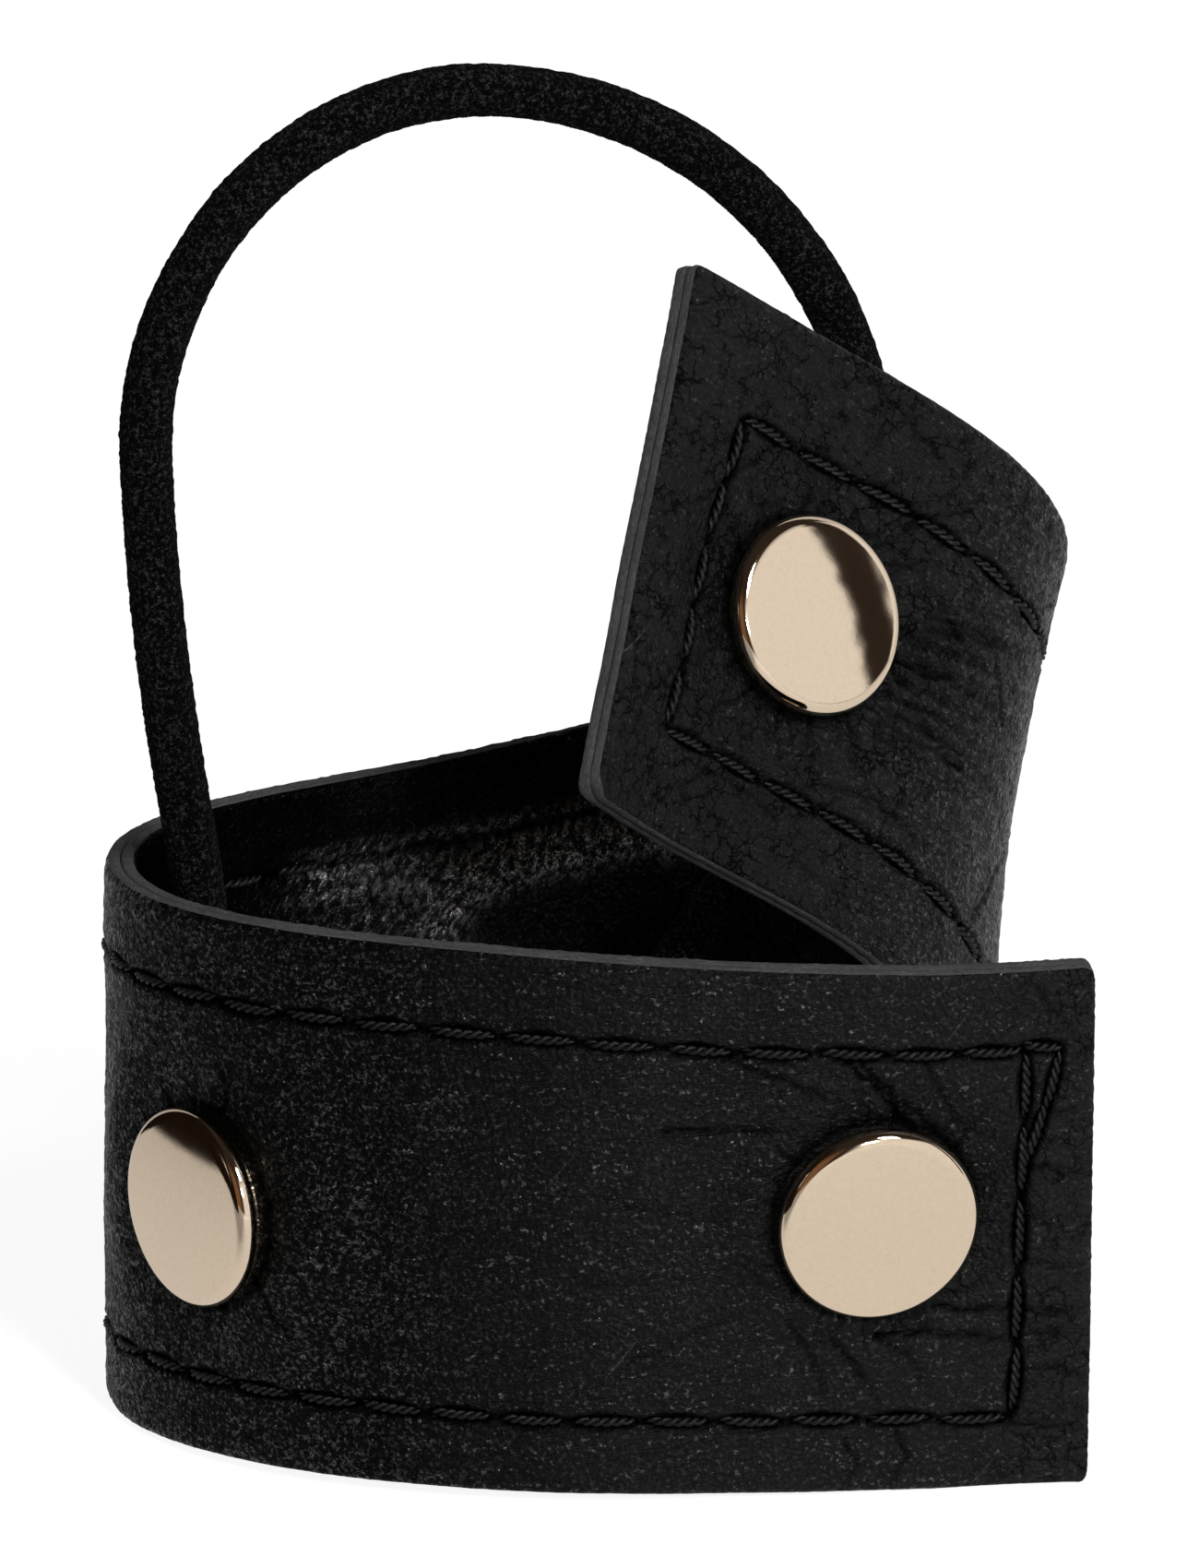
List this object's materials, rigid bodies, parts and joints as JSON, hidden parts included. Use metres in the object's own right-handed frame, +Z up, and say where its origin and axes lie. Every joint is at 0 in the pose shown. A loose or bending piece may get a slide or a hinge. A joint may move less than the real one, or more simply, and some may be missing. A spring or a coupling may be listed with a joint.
{
  "type": "leather snap strap with elastic cord loop",
  "caption": "Two-layer stitched leather snap strap coiled into an open loop, with domed snap caps and a covered elastic cord ring held by an inside keeper.",
  "frame": {"origin": "centre of the overall footprint, on the table plane the strap's lower edge stands on", "axes": "+Z up along the strap's width; +X to the right along the front panel, towards its free end; -Y towards the front panel's outer face"},
  "size_m": [0.0614, 0.0552, 0.0837],
  "materials": {
    "outer_leather": "satin pebbled",
    "lining": "smooth semi-gloss",
    "thread": "twisted",
    "gold": "polished",
    "rivet": "polished",
    "spring_wire": "drawn wire",
    "cord": "velvet",
    "rubber": "matt",
    "keeper": "satin"
  },
  "bodies": {
    "strap": {"outer_leather_middle": "outer_leather", "lining_middle": "lining", "face_thread_middle": "thread", "lining_thread_middle": "thread", "cap_m": "gold", "post_m": "rivet", "washer_m": "gold", "cord_keeper": "keeper"},
    "front_end": {"outer_leather_front": "outer_leather", "lining_front": "lining", "face_thread_front": "thread", "lining_thread_front": "thread", "cap_a": "gold", "post_a": "rivet", "socket_a": "gold"},
    "flap_end": {"outer_leather_flap": "outer_leather", "lining_flap": "lining", "face_thread_flap": "thread", "lining_thread_flap": "thread", "cap_b": "gold", "post_b": "rivet", "stud_b": "gold"},
    "spring_upper": {"socket_spring_upper": "spring_wire"},
    "spring_lower": {"socket_spring_lower": "spring_wire"},
    "cord_loop": {"cord_cover": "cord", "cord_core": "rubber"}
  },
  "joints": [
    {"name": "front_end_flex", "type": "hinge", "parent": "strap", "child": "front_end", "pos_m": [-0.00935, -0.02477, 0.01829], "axis": [0, 0, 1], "range_deg": [-50, 8], "stiffness_Nm_per_rad": 0.06},
    {"name": "flap_end_flex", "type": "hinge", "parent": "strap", "child": "flap_end", "pos_m": [0.02451, 0.01333, 0.02847], "axis": [-0.0459, 0.6822, 0.7298], "range_deg": [-3, 55], "stiffness_Nm_per_rad": 0.06},
    {"name": "cord_loop_swing", "type": "hinge", "parent": "strap", "child": "cord_loop", "pos_m": [-0.02356, -0.00314, 0.01785], "axis": [0, 0, 1], "range_deg": [-2, 6], "stiffness_Nm_per_rad": 0.01},
    {"name": "socket_spring_upper_slide", "type": "slide", "parent": "front_end", "child": "spring_upper", "axis": [0.0552, -0.1088, 0.9925], "range_m": [0, 0.0003]},
    {"name": "socket_spring_lower_slide", "type": "slide", "parent": "front_end", "child": "spring_lower", "axis": [-0.0552, 0.1088, -0.9925], "range_m": [0, 0.0003]}
  ],
  "couplings": [
    {"joint": "socket_spring_lower_slide", "follows": "socket_spring_upper_slide", "ratio": 1}
  ]
}
